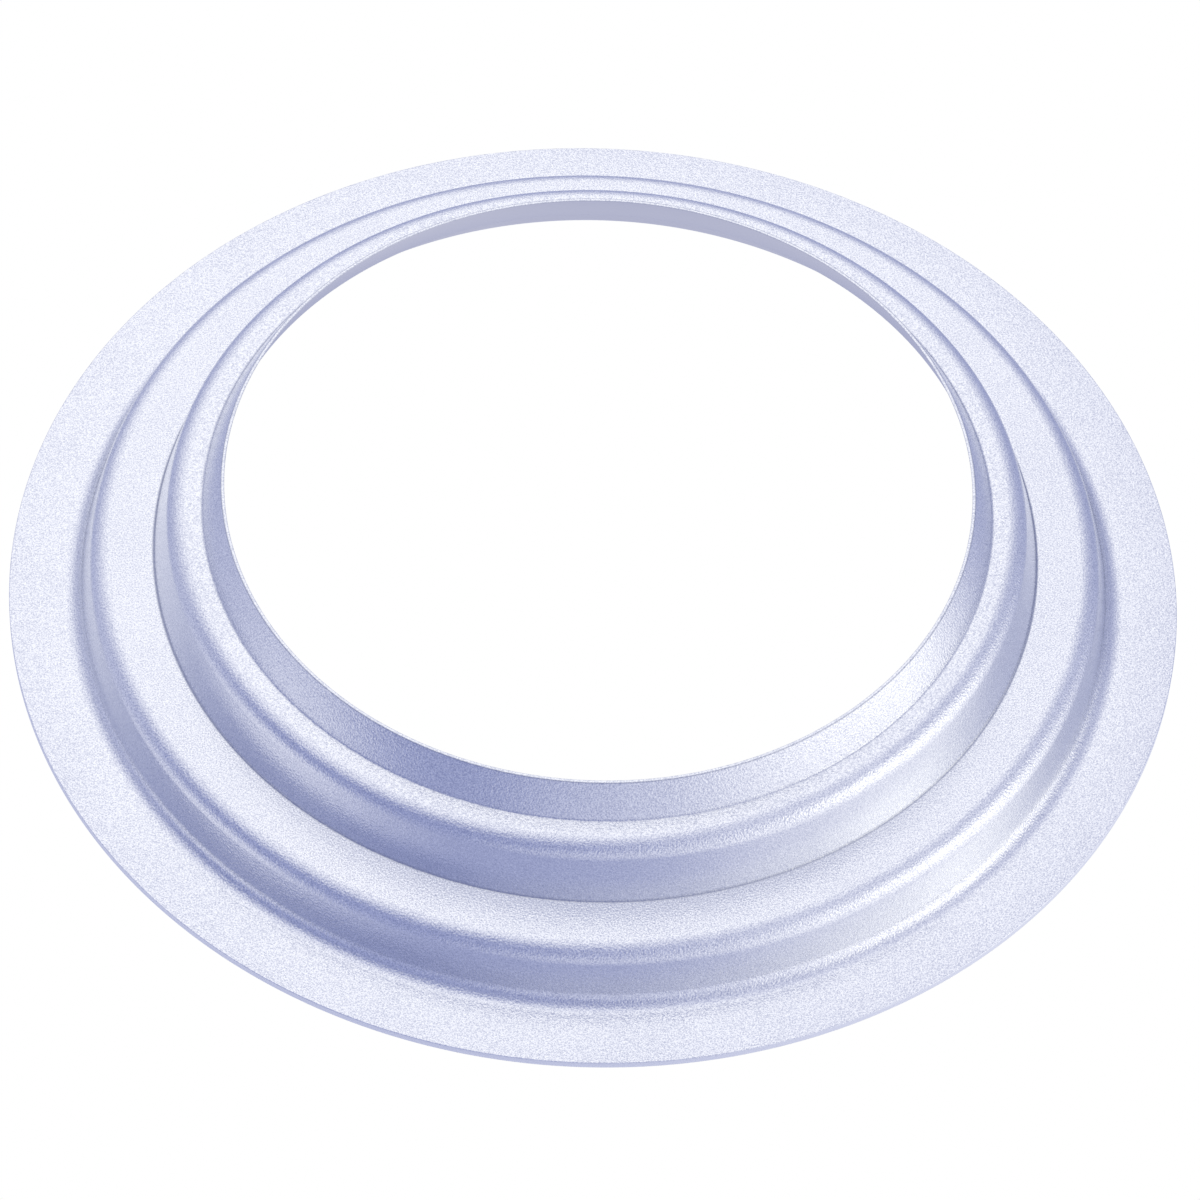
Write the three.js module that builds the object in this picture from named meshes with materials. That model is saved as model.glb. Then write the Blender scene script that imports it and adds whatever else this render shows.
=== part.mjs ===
// Stepped mount adapter ring: the insert that joins a light modifier's speedring to a studio light.
// It is one round piece of pressed aluminium sheet. A flat flange runs round the outside, two steps
// rise towards the middle, and a conical collar stands round the open hole.
// Millimetres, +Z up. The flange's underside lies on z = 0 and the ring's axis is the Z axis.
import * as THREE from 'three';

// Overall sizes
const outerDiameter = 152;        // standard insert size
const firstStepHeight = 7.9;      // flange top to first terrace
const secondStepHeight = 8.3;     // first terrace to second terrace
const collarHeight = 4.6;         // second terrace to the collar's rim

// Radial widths, measured between the sharp corners that the bends round off
const flangeWidth = 9;
const firstTerraceWidth = 7.8;
const secondTerraceWidth = 4.1;

// The sheet and the press tool
const sheet = 1.0;
const wallDraft = 15;             // lean of both step walls from upright, degrees
const collarDraft = 28;           // lean of the collar from upright, degrees
const rimWidth = 0.45;            // the collar is drawn thin towards its rim
const topBendRadius = 2.9;        // outside radius along the top of each step
const firstFootRadius = 2.4;      // inside radius where the flange meets the first wall
const secondFootRadius = 0.35;    // inside radius where the first terrace meets the second wall
const collarFootRadius = 0.4;     // inside radius where the second terrace meets the collar

// Fineness of the solid
const segmentsRound = 80;
const degreesPerArcStep = 26;

const run = (height, draft) => height * Math.tan(THREE.MathUtils.degToRad(draft));

// Corners of the sheet's upper face, from the outer edge in to the rim, each with its bend radius on
// that face. At a crest the upper face is the outside of the bend, and at a foot it is the inside.
function upperCorners() {
  const outerRadius = outerDiameter / 2;
  const firstFoot = outerRadius - flangeWidth;
  const firstTop = firstFoot - run(firstStepHeight, wallDraft);
  const secondFoot = firstTop - firstTerraceWidth;
  const secondTop = secondFoot - run(secondStepHeight, wallDraft);
  const collarFoot = secondTop - secondTerraceWidth;
  const rim = collarFoot - run(collarHeight, collarDraft);
  const firstTerrace = sheet + firstStepHeight;
  const secondTerrace = firstTerrace + secondStepHeight;
  return [
    { point: new THREE.Vector2(outerRadius, sheet) },
    { point: new THREE.Vector2(firstFoot, sheet), radius: firstFootRadius },
    { point: new THREE.Vector2(firstTop, firstTerrace), radius: topBendRadius, crest: true },
    { point: new THREE.Vector2(secondFoot, firstTerrace), radius: secondFootRadius },
    { point: new THREE.Vector2(secondTop, secondTerrace), radius: topBendRadius, crest: true },
    { point: new THREE.Vector2(collarFoot, secondTerrace), radius: collarFootRadius },
    { point: new THREE.Vector2(rim, secondTerrace + collarHeight) },
  ];
}

// The point one sheet thickness below an upper corner, where the two lower faces meet.
function belowCorner(before, corner, after) {
  const into = corner.clone().sub(before).normalize();
  const out = after.clone().sub(corner).normalize();
  const half = into.angleTo(out) / 2;
  const towards = into.clone().add(out).normalize();
  const down = new THREE.Vector2(-towards.y, towards.x);
  return corner.clone().addScaledVector(down, sheet / Math.cos(half));
}

// Corners of the sheet's lower face, from the rim back out to the outer edge. Bends keep the sheet's
// thickness; only the collar tapers, from a full sheet at its foot to the thin rim.
function lowerCorners(upper) {
  const rim = upper.at(-1).point;
  const bends = upper.slice(1, -1).map((corner, i) => ({
    point: belowCorner(upper[i].point, corner.point, upper[i + 2].point),
    radius: corner.crest ? Math.max(corner.radius - sheet, 0) : corner.radius + sheet,
  }));
  const rimInside = { point: new THREE.Vector2(rim.x - rimWidth, rim.y) };
  const outerEdge = { point: new THREE.Vector2(outerDiameter / 2, 0) };
  return [outerEdge, ...bends, rimInside].reverse();
}

// Points along one rounded corner, or the corner itself where it is sharp.
function cornerPoints(before, corner, after, radius) {
  if (!radius) return [corner.clone()];
  const into = corner.clone().sub(before).normalize();
  const out = after.clone().sub(corner).normalize();
  const turn = into.angleTo(out);
  const side = Math.sign(into.cross(out));
  const start = corner.clone().addScaledVector(into, -radius * Math.tan(turn / 2));
  const centre = start.clone().add(new THREE.Vector2(-into.y, into.x).multiplyScalar(side * radius));
  const steps = Math.ceil(THREE.MathUtils.radToDeg(turn) / degreesPerArcStep);
  return Array.from({ length: steps + 1 }, (_, i) =>
    start.clone().rotateAround(centre, (side * turn * i) / steps));
}

// The closed section of the ring in the radius and height plane, counter-clockwise.
function sectionPoints() {
  const upper = upperCorners();
  const corners = [...upper, ...lowerCorners(upper)];
  const count = corners.length;
  const points = corners.flatMap(({ point, radius }, i) => cornerPoints(
    corners[(i + count - 1) % count].point, point, corners[(i + 1) % count].point, radius));
  return [...points, points[0].clone()];
}

function adapterRing() {
  const geometry = new THREE.LatheGeometry(sectionPoints(), segmentsRound);
  geometry.rotateX(Math.PI / 2);
  const material = new THREE.MeshStandardMaterial({ color: 0xdde1ee, roughness: 0.42, metalness: 1 });
  const mesh = new THREE.Mesh(geometry, material);
  mesh.name = 'adapter_ring';
  return mesh;
}

const ring = new THREE.Group();
ring.add(adapterRing());

export default ring;
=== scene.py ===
import math
import bmesh
import bpy
from mathutils import Matrix, Vector


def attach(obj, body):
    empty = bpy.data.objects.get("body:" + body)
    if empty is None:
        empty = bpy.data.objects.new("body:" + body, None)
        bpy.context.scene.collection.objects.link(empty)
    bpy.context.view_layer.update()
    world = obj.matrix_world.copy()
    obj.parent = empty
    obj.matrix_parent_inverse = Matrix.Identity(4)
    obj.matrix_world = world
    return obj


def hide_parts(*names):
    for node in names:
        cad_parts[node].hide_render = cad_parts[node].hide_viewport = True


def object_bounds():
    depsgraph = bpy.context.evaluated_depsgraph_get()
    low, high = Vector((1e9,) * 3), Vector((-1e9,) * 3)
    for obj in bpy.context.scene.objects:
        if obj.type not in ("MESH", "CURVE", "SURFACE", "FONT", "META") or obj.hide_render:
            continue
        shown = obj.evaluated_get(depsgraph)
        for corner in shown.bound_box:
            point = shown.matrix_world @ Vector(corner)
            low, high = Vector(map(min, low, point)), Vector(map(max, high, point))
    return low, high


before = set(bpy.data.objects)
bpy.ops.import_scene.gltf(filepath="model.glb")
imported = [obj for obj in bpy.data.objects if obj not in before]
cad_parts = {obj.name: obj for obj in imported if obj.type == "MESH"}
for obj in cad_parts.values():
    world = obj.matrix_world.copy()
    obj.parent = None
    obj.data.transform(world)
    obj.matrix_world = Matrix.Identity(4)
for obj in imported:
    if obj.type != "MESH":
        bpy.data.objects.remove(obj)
cadLow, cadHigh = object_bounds()
mm = 0.001


# Ring: the section is drawn as a line, spun once round the Z axis and given the sheet's thickness

ring = {                          # millimetres and degrees, as the solid has them
    "sheet": 1.0,
    "firstStepHeight": 7.9,
    "secondStepHeight": 8.3,
    "flangeWidth": 9.0,
    "firstTerraceWidth": 7.8,
    "secondTerraceWidth": 4.1,
    "wallDraft": 15,
    "collarDraft": 28,
    "rimWidth": 0.45,
    "topBendRadius": 2.9,
    "firstFootRadius": 2.4,
    "secondFootRadius": 0.35,
    "collarFootRadius": 0.4,
    "degreesPerBendStep": 6,
    "stepsRound": 360,
    "flangeEdgeRound": 0.12,      # rounding that blasting leaves on the cut edges
    "lipRound": 0.07,
    "edgeSegments": 3,
    "smoothBelow": 35,            # edges that turn less than this are shaded smooth
    "samePlace": 0.02,            # points nearer than this are taken as one when selecting
    "weld": 0.001,                # and nearer than this are merged
}


def sectionCorners(outerRadius, rimHeight):
    # the upper face's sharp corners with their bend radii, from the outer edge in to the rim
    wallLean = math.tan(math.radians(ring["wallDraft"]))
    collarLean = math.tan(math.radians(ring["collarDraft"]))
    flange = ring["sheet"] * mm
    firstTerrace = flange + ring["firstStepHeight"] * mm
    secondTerrace = firstTerrace + ring["secondStepHeight"] * mm
    firstFoot = outerRadius - ring["flangeWidth"] * mm
    firstTop = firstFoot - (firstTerrace - flange) * wallLean
    secondFoot = firstTop - ring["firstTerraceWidth"] * mm
    secondTop = secondFoot - (secondTerrace - firstTerrace) * wallLean
    collarFoot = secondTop - ring["secondTerraceWidth"] * mm
    rim = collarFoot - (rimHeight - secondTerrace) * collarLean
    return [
        (Vector((outerRadius, 0, flange)), 0),
        (Vector((firstFoot, 0, flange)), ring["firstFootRadius"] * mm),
        (Vector((firstTop, 0, firstTerrace)), ring["topBendRadius"] * mm),
        (Vector((secondFoot, 0, firstTerrace)), ring["secondFootRadius"] * mm),
        (Vector((secondTop, 0, secondTerrace)), ring["topBendRadius"] * mm),
        (Vector((collarFoot, 0, secondTerrace)), ring["collarFootRadius"] * mm),
        (Vector((rim, 0, rimHeight)), 0),
    ]


def selectWhere(piece, kind, test):
    # in edit mode, selects the verts or edges for which the test is true, and nothing else
    mesh = bmesh.from_edit_mesh(piece.data)
    for element in (*mesh.verts, *mesh.edges, *mesh.faces):
        element.select = False
    for element in getattr(mesh, kind):
        if test(element):
            element.select_set(True)
    bmesh.update_edit_mesh(piece.data)


def radiusOf(point):
    return math.hypot(point.x, point.y)


def loopTest(radius, height):
    # true for an edge of the loop that goes round at that radius and height
    samePlace = ring["samePlace"] * mm

    def onLoop(point):
        return abs(radiusOf(point) - radius) < samePlace and abs(point.z - height) < samePlace
    return lambda edge: all(onLoop(vertex.co) for vertex in edge.verts)


def drawSection(corners):
    # a single vertex at the outer edge is extruded along the corners, then the bends are rounded
    bpy.ops.object.select_all(action="DESELECT")
    bpy.ops.mesh.primitive_plane_add(size=ring["sheet"] * mm, location=corners[0][0])
    piece = bpy.context.object
    bpy.ops.object.transform_apply(location=True)
    bpy.ops.object.mode_set(mode="EDIT")
    bpy.ops.mesh.select_mode(type="VERT")
    bpy.ops.mesh.merge(type="CENTER")
    for (here, _), (there, _) in zip(corners, corners[1:]):
        bpy.ops.mesh.extrude_vertices_move(TRANSFORM_OT_translate={"value": there - here})
    for (before, _), (corner, radius), (after, _) in zip(corners, corners[1:], corners[2:]):
        turn = (corner - before).angle(after - corner)
        selectWhere(piece, "verts", lambda v: (v.co - corner).length < ring["samePlace"] * mm)
        bpy.ops.mesh.bevel(
            offset=radius * math.tan(turn / 2),
            segments=math.ceil(math.degrees(turn) / ring["degreesPerBendStep"]),
            affect="VERTICES")
    return piece


def buildRing(corners):
    flangeEdge, collarFoot, rim = corners[0][0], corners[-2][0], corners[-1][0]
    piece = drawSection(corners)
    piece.name = "ring"
    print("ring: section drawn with", len(bmesh.from_edit_mesh(piece.data).verts), "points")

    bpy.ops.mesh.select_all(action="SELECT")
    bpy.ops.mesh.spin(
        steps=ring["stepsRound"], angle=math.radians(360), center=(0, 0, 0), axis=(0, 0, 1))
    bpy.ops.mesh.select_all(action="SELECT")
    bpy.ops.mesh.remove_doubles(threshold=ring["weld"] * mm)
    bpy.ops.mesh.normals_make_consistent(inside=False)
    bpy.ops.object.mode_set(mode="OBJECT")
    if sum(face.normal.z * face.area for face in piece.data.polygons) < 0:
        piece.data.flip_normals()

    # the sheet gets its thickness downwards, and the collar thins evenly from its foot to the rim
    rimShare = ring["rimWidth"] / ring["sheet"] / math.cos(math.radians(ring["collarDraft"]))
    thickness = piece.vertex_groups.new(name="thickness")
    for vertex in piece.data.vertices:
        climb = (vertex.co.z - collarFoot.z) / (rim.z - collarFoot.z)
        weight = 1 - (1 - rimShare) * max(climb, 0)
        thickness.add([vertex.index], weight, "REPLACE")
    solidify = piece.modifiers.new("sheet", "SOLIDIFY")
    solidify.thickness = ring["sheet"] * mm
    solidify.offset = -1
    solidify.use_even_offset = True
    solidify.vertex_group = thickness.name
    bpy.ops.object.modifier_apply(modifier=solidify.name)
    piece.vertex_groups.clear()

    # the rim is cut off level, then blasting takes the sharpness off every cut edge
    bpy.ops.object.mode_set(mode="EDIT")
    rimInside = rim.x - ring["rimWidth"] * mm

    def onInnerLip(vertex):
        aside = abs(radiusOf(vertex.co) - rimInside)
        return aside < ring["samePlace"] * mm and vertex.co.z > rim.z - ring["rimWidth"] * mm

    selectWhere(piece, "verts", onInnerLip)
    bpy.ops.transform.resize(value=(1, 1, 0), center_override=(0, 0, rim.z))
    edgeRounds = (
        (flangeEdge.x, flangeEdge.z, ring["flangeEdgeRound"]),
        (flangeEdge.x, 0, ring["flangeEdgeRound"]),
        (rim.x, rim.z, ring["lipRound"]),
        (rimInside, rim.z, ring["lipRound"]),
    )
    bpy.ops.mesh.select_mode(type="EDGE")
    for radius, height, size in edgeRounds:
        selectWhere(piece, "edges", loopTest(radius, height))
        bpy.ops.mesh.bevel(offset=size * mm, affect="EDGES", segments=ring["edgeSegments"])
    bpy.ops.object.mode_set(mode="OBJECT")
    bpy.ops.object.shade_smooth_by_angle(angle=math.radians(ring["smoothBelow"]))
    print("ring: finished with", len(piece.data.polygons), "faces")
    return piece


# Finishes: each material is a network of nodes, and its arithmetic is written as Python

class Value:
    # a node's output socket, with the arithmetic that adds Math nodes after it
    def __init__(self, network, socket):
        self.network, self.socket = network, socket

    def calculate(self, operation, first, second):
        return self.network.node("Math", {"operation": operation}, {0: first, 1: second})

    def __add__(self, other):
        return self.calculate("ADD", self, other)

    def __sub__(self, other):
        return self.calculate("SUBTRACT", self, other)

    def __mul__(self, other):
        return self.calculate("MULTIPLY", self, other)

    def __rsub__(self, other):
        return self.calculate("SUBTRACT", other, self)

    __radd__ = __add__
    __rmul__ = __mul__


class Network:
    # the nodes of one material, or of the world
    def __init__(self, owner):
        owner.use_nodes = True
        self.owner, self.tree = owner, owner.node_tree
        self.tree.nodes.clear()

    def node(self, kind, settings=None, inputs=None, output=0):
        made = self.tree.nodes.new("ShaderNode" + kind)
        for key, value in (settings or {}).items():
            setattr(made, key, value)
        for key, value in (inputs or {}).items():
            if isinstance(value, Value):
                self.tree.links.new(value.socket, made.inputs[key])
            else:
                made.inputs[key].default_value = value
        return Value(self, made.outputs[output]) if made.outputs else None

    def position(self):
        return self.node("TexCoord", output="Object")

    def vector(self, operation, first, second, output=0):
        return self.node("VectorMath", {"operation": operation}, {0: first, 1: second}, output)

    def radius(self):
        flat = self.vector("MULTIPLY", self.position(), (1, 1, 0))
        return self.vector("LENGTH", flat, (0, 0, 0), "Value")

    def height(self):
        return self.node("SeparateXYZ", {}, {0: self.position()}, output="Z")

    def near(self, corner, reach):
        # 1 on the circle that a corner of the section makes round the ring, fading to 0 at reach
        around = self.node("CombineXYZ", {}, {0: self.radius(), 1: self.height()})
        distance = self.vector("DISTANCE", around, (corner.x, corner.z, 0), "Value")
        return 1 - self.climb(distance, 0, reach * mm)

    def climb(self, value, low, high):
        # 0 below low and 1 above high, with a smooth climb between them
        return self.node("MapRange", {"interpolation_type": "SMOOTHSTEP"},
                         {"Value": value, "From Min": low, "From Max": high})

    def noise(self, size, detail):
        # goes evenly above and below 0; size is millimetres from one grain to the next
        inputs = {"Vector": self.position(), "Scale": 1 / (size * mm), "Detail": detail}
        return self.node("TexNoise", {}, inputs) - 0.5

    def blend(self, factor, first, second):
        sockets = {"Factor": factor, 6: first, 7: second}
        return self.node("Mix", {"data_type": "RGBA"}, sockets, output=2)

    def finish(self, **surface):
        sockets = {key.replace("_", " "): value for key, value in surface.items()}
        shader = self.node("BsdfPrincipled", {}, sockets)
        self.node("OutputMaterial", {}, {"Surface": shader})
        return self.owner


blasted = {                       # millimetres where it is a size
    "dimple": (0.60, 0.62, 0.71, 1),
    "crest": (0.97, 0.975, 0.98, 1),
    "underside": (0.72, 0.715, 0.74, 1),
    # painted shade: the dark colour laid along the feet and the lips
    "paintedShade": (0.30, 0.32, 0.40, 1),
    "cut": (0.93, 0.935, 0.95, 1),
    "roughness": 0.18,
    "cutRoughness": 0.45,
    "undersideRoughness": 0.32,
    "grain": 0.27,                # from one dimple to the next, in the bump
    "grainDetail": 1,
    "fineGrain": 0.19,            # and in the colour
    "fineGrainDetail": 2,
    "depth": 0.06,
    "wallShare": 0.6,             # how much of the grain the steep walls keep
    "undersideShare": 0.15,
    "evenTone": 0.61,             # from all dimple, 0, to all crest, 1
    "contrast": 3.6,
    "clouds": 14,                 # from one cloud to the next
    "cloudDetail": 3,
    "cloudTone": 0.25,
    "cloudRoughness": 0.1,        # as a share of the tone's change
    "cutMetal": 0.3,
    "cutDepth": 0.02,             # how far in from the outer edge the cut finish goes
    "undersideTurn": (-0.1, 0.1), # normal's Z where the underside gives way to the upper side
    "wallTurn": (0.3, 0.6),       # and where the walls give way to the flats
}

paintedShadeLines = (       # painted shade along the feet and the lips: corner of the section, millimetres inward from it, the line's spread, how dark
    {"corner": 1, "inward": 0, "reach": 1.0, "dark": 0.32},
    {"corner": 3, "inward": 0, "reach": 0.38, "dark": 0.76},
    {"corner": 5, "inward": 0, "reach": 0.40, "dark": 0.25},
    {"corner": 6, "inward": 0, "reach": 0.20, "dark": 0.55},
    {"corner": 6, "inward": ring["rimWidth"], "reach": 0.20, "dark": 0.45},
)


def blastedAluminium(corners):
    net = Network(bpy.data.materials.new("blastedAluminium"))
    outerRadius = corners[0][0].x
    normal = net.node("NewGeometry", output="Normal")
    up = net.node("SeparateXYZ", {}, {0: normal}, output="Z")

    # the outer edge is a plain cut, and the rest is upper side or underside
    cutDepth = blasted["cutDepth"] * mm
    cut = net.climb(net.radius(), outerRadius - cutDepth, outerRadius - cutDepth / 2)
    upperSide = net.climb(up, *blasted["undersideTurn"])

    # the grain is full on the flats, less on the steep walls and hardly there on the underside
    flats = net.climb(up, *blasted["wallTurn"])
    upperShare = blasted["wallShare"] + (1 - blasted["wallShare"]) * flats
    share = blasted["undersideShare"] + (upperShare - blasted["undersideShare"]) * upperSide
    grain = net.noise(blasted["grain"], blasted["grainDetail"]) * share
    fineGrain = net.noise(blasted["fineGrain"], blasted["fineGrainDetail"]) * share

    # broad faint clouds from handling, and painted shade as dark lines along the feet and the rim
    clouds = net.noise(blasted["clouds"], blasted["cloudDetail"]) * blasted["cloudTone"]
    paintedShade = 0
    for line in paintedShadeLines:
        corner, _ = corners[line["corner"]]
        place = corner - Vector((line["inward"] * mm, 0, 0))
        paintedShade = paintedShade + net.near(place, line["reach"]) * line["dark"]

    tone = blasted["evenTone"] + fineGrain * blasted["contrast"] + clouds
    upperColour = net.blend(tone, blasted["dimple"], blasted["crest"])
    colour = net.blend(upperSide, blasted["underside"], upperColour)
    # painted shade darkens the colour along the feet and the lips
    colour = net.blend(paintedShade, colour, blasted["paintedShade"])
    bump = net.node("Bump", {}, {"Distance": blasted["depth"] * mm, "Height": grain})
    underneath = blasted["undersideRoughness"]
    roughness = underneath + (blasted["roughness"] - underneath) * upperSide
    roughness = roughness + clouds * blasted["cloudRoughness"]
    return net.finish(
        Base_Color=net.blend(cut, colour, blasted["cut"]),
        Metallic=1 - cut * (1 - blasted["cutMetal"]),
        Roughness=roughness + cut * (blasted["cutRoughness"] - blasted["roughness"]),
        Normal=bump)


section = sectionCorners(cadHigh.x, cadHigh.z)
ringPiece = buildRing(section)
ringPiece.data.materials.append(blastedAluminium(section))
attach(ringPiece, "root")
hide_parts("adapter_ring")


# Studio: a white sweep, broad soft lights all round and the camera

view = {                          # millimetres and degrees
    "aim": (0.88, -2.89, 1.0),
    "distance": 924.4,
    "elevation": 51.58,
    "roll": 2.745,
    "lens": 213.3,
    "nearest": 10,
    "farthest": 100000,
}

lights = {        # degrees round from the camera's side, degrees up, how tight, how strong;
                  # a glow below 0 is a shade, which takes light away
    "back":        {"round": 180, "up": 35, "tight": 4, "glow": 0.47},
    "backLeft":    {"round": 228, "up": 28, "tight": 5, "glow": 0.26},
    "overhead":    {"round": 180, "up": 65, "tight": 4, "glow": 0.28},
    "zenith":      {"round": 180, "up": 85, "tight": 14, "glow": 0.15},
    "leftHigh":    {"round": 285, "up": 62, "tight": 14, "glow": 0.24},
    "rightHigh":   {"round": 45, "up": 35, "tight": 4, "glow": 0.42},
    "rightUp":     {"round": 75, "up": 26, "tight": 18, "glow": 0.72},
    "rightFront":  {"round": 45, "up": 0, "tight": 14, "glow": 0.35},
    "right":       {"round": 90, "up": 0, "tight": 14, "glow": 0.53},
    "front":       {"round": 0, "up": 5, "tight": 14, "glow": 0.19},
    "left":        {"round": 290, "up": 0, "tight": 16, "glow": 0.26},
    "rightBelow":  {"round": 80, "up": -35, "tight": 5, "glow": 0.48},
    "leftBelow":   {"round": 280, "up": -35, "tight": 5, "glow": 0.40},
    "below":       {"round": 0, "up": -90, "tight": 4, "glow": 0.25},
    "cameraShade": {"round": 0, "up": 50, "tight": 14, "glow": -0.13},
    "leftShade":   {"round": 285, "up": 32, "tight": 16, "glow": -0.13},
}

studio = {
    "lightColour": (1.07, 1.03, 0.78),
    "fillColour": (0.25, 0.29, 0.55),
    "floorSize": 12,              # metres
    "backdropRadius": 5,
    "backdropSubdivisions": 4,
}


def outward(aroundDegrees, upDegrees):
    around, up = math.radians(aroundDegrees), math.radians(upDegrees)
    return Vector((math.sin(around) * math.cos(up), -math.cos(around) * math.cos(up), math.sin(up)))


def facing(direction, distance):
    # stands off at that distance and looks back
    turned = direction.to_track_quat("Z", "Y").to_matrix().to_4x4()
    return Matrix.Translation(direction * distance) @ turned


def buildCamera():
    camera = bpy.data.objects.new("camera", bpy.data.cameras.new("camera"))
    bpy.context.scene.collection.objects.link(camera)
    roll = Matrix.Rotation(math.radians(view["roll"]), 4, "Z")
    stand = facing(outward(0, view["elevation"]), view["distance"] * mm)
    camera.matrix_world = Matrix.Translation(Vector(view["aim"]) * mm) @ stand @ roll
    camera.data.lens = view["lens"]
    camera.data.clip_start = view["nearest"] * mm
    camera.data.clip_end = view["farthest"] * mm
    bpy.context.scene.camera = camera


def buildLights():
    # broad lights without edges, all at a great distance, added to an even fill
    net = Network(bpy.data.worlds.new("softLight"))
    direction = net.node("TexCoord", output="Generated")
    total = studio["fillColour"]
    for light in lights.values():
        towards = outward(light["round"], light["up"])
        cosine = net.vector("DOT_PRODUCT", direction, towards, "Value")
        falloff = net.node("Math", {"operation": "EXPONENT"}, {0: (cosine - 1) * light["tight"]})
        inputs = {0: studio["lightColour"], "Scale": falloff * light["glow"]}
        shone = net.node("VectorMath", {"operation": "SCALE"}, inputs)
        total = net.vector("ADD", shone, total)
    net.node("OutputWorld", {}, {"Surface": net.node("Background", {}, {"Color": total})})
    bpy.context.scene.world = net.owner


def buildSweep():
    # the floor and the backdrop are plain white, and the ring doesn't mirror them
    bpy.ops.object.select_all(action="DESELECT")
    bpy.ops.mesh.primitive_plane_add(size=studio["floorSize"])
    bpy.context.object.name = "floor"
    bpy.ops.mesh.primitive_ico_sphere_add(
        subdivisions=studio["backdropSubdivisions"], radius=studio["backdropRadius"])
    bpy.context.object.name = "backdrop"
    white = Network(bpy.data.materials.new("whiteSweep"))
    white.node("OutputMaterial", {}, {"Surface": white.node("Emission")})
    for name in ("floor", "backdrop"):
        screen = bpy.data.objects[name]
        screen.visible_glossy = screen.visible_diffuse = screen.visible_shadow = False
        screen.data.materials.append(white.owner)


buildCamera()
buildLights()
buildSweep()
bpy.context.scene.view_settings.view_transform = "Standard"
print("studio: camera, lights and sweep are in place")
